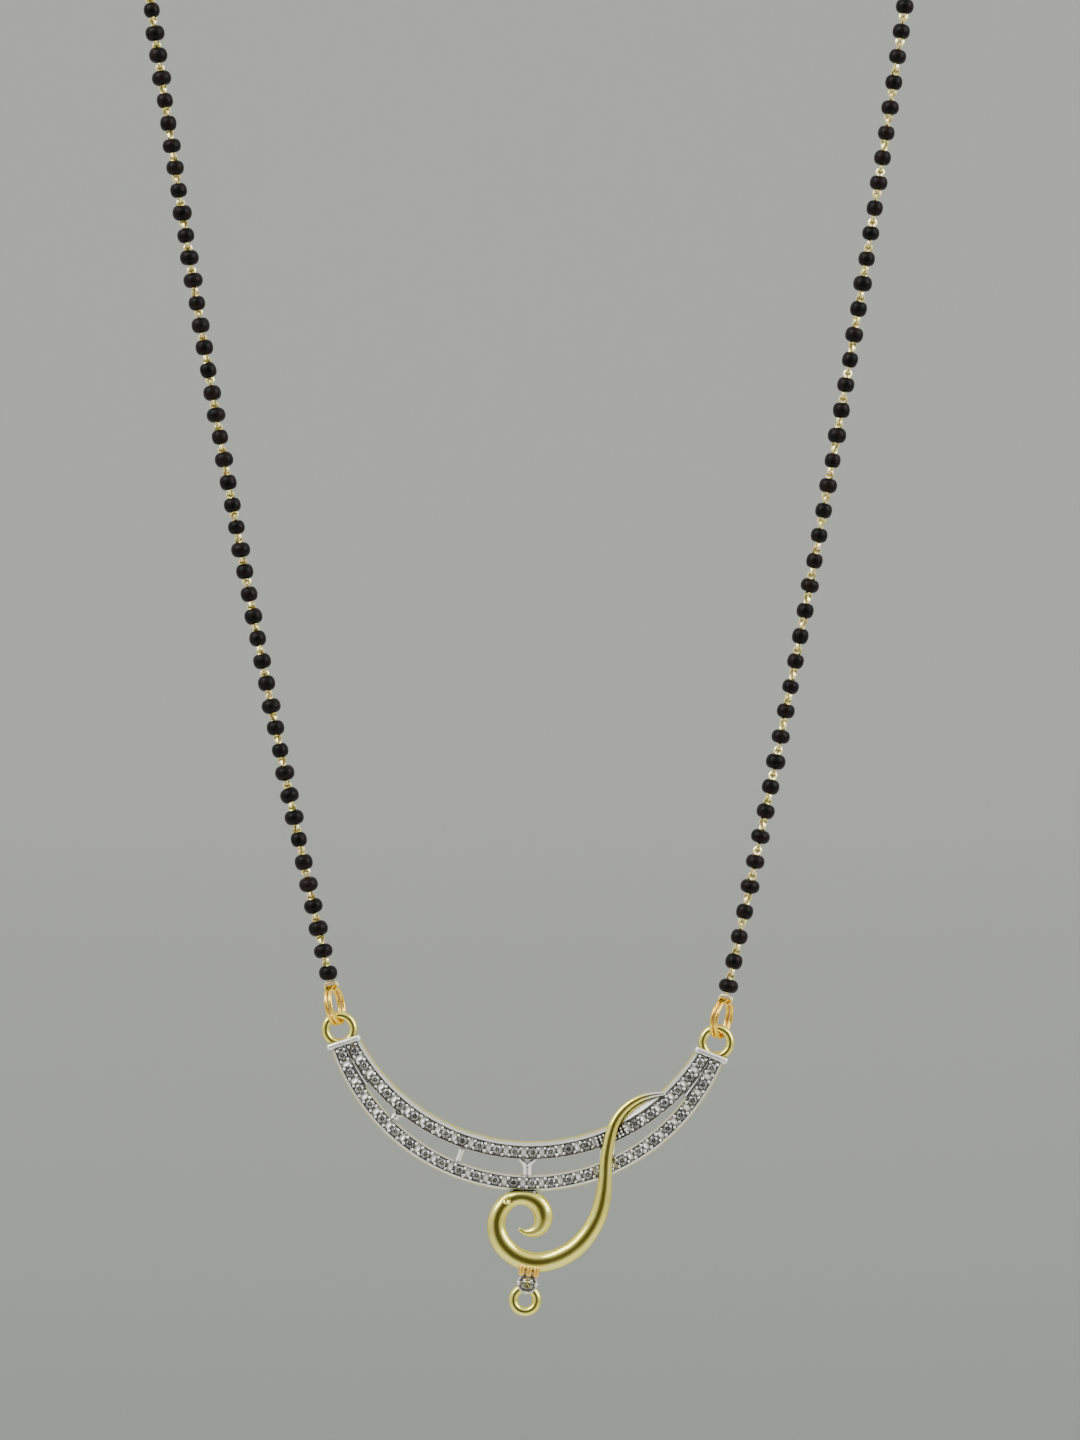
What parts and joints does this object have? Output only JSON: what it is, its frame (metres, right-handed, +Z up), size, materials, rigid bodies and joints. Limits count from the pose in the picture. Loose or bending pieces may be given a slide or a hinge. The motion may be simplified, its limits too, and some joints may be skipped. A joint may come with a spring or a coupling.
{
  "type": "mangalsutra necklace",
  "caption": "Necklace of small black glass beads on gold wire links, with a hanging crescent pendant of stone-set bars crossed by a gold scroll that ends in a small drop and open ring.",
  "frame": {"origin": "top of the loop, at the middle of the clasp, where it hangs", "axes": "+Z up, -Y towards the viewer from the front, +X to the right as seen from the front"},
  "size_m": [0.0928, 0.0048, 0.2111],
  "materials": {
    "black_glass": "glossy black glass, opaque",
    "pale_gold": "polished pale gold wire",
    "warm_gold": "polished yellow gold",
    "two_tone_gold": "polished pale gold, with a white rhodium finish on the bars",
    "clear_stone": "clear cut stones"
  },
  "bodies": {
    "chain": {"clasp": "warm_gold", "left_end_ring": "warm_gold", "right_end_ring": "warm_gold", "left_beads": "black_glass", "right_beads": "black_glass", "left_links": "pale_gold", "right_links": "pale_gold", "left_jump_ring_outer": "warm_gold", "left_jump_ring_inner": "warm_gold", "right_jump_ring_outer": "warm_gold", "right_jump_ring_inner": "warm_gold"},
    "pendant": {"pendant": "two_tone_gold", "upper_stones": "clear_stone", "lower_stones": "clear_stone", "drop_stone": "clear_stone"}
  },
  "joints": [
    {"name": "pendant_swing", "type": "hinge", "parent": "chain", "child": "pendant", "pos_m": [0.00005, 0, -0.1736], "axis": [0.9994, 0, -0.0349], "range_deg": [-25, 25]}
  ]
}
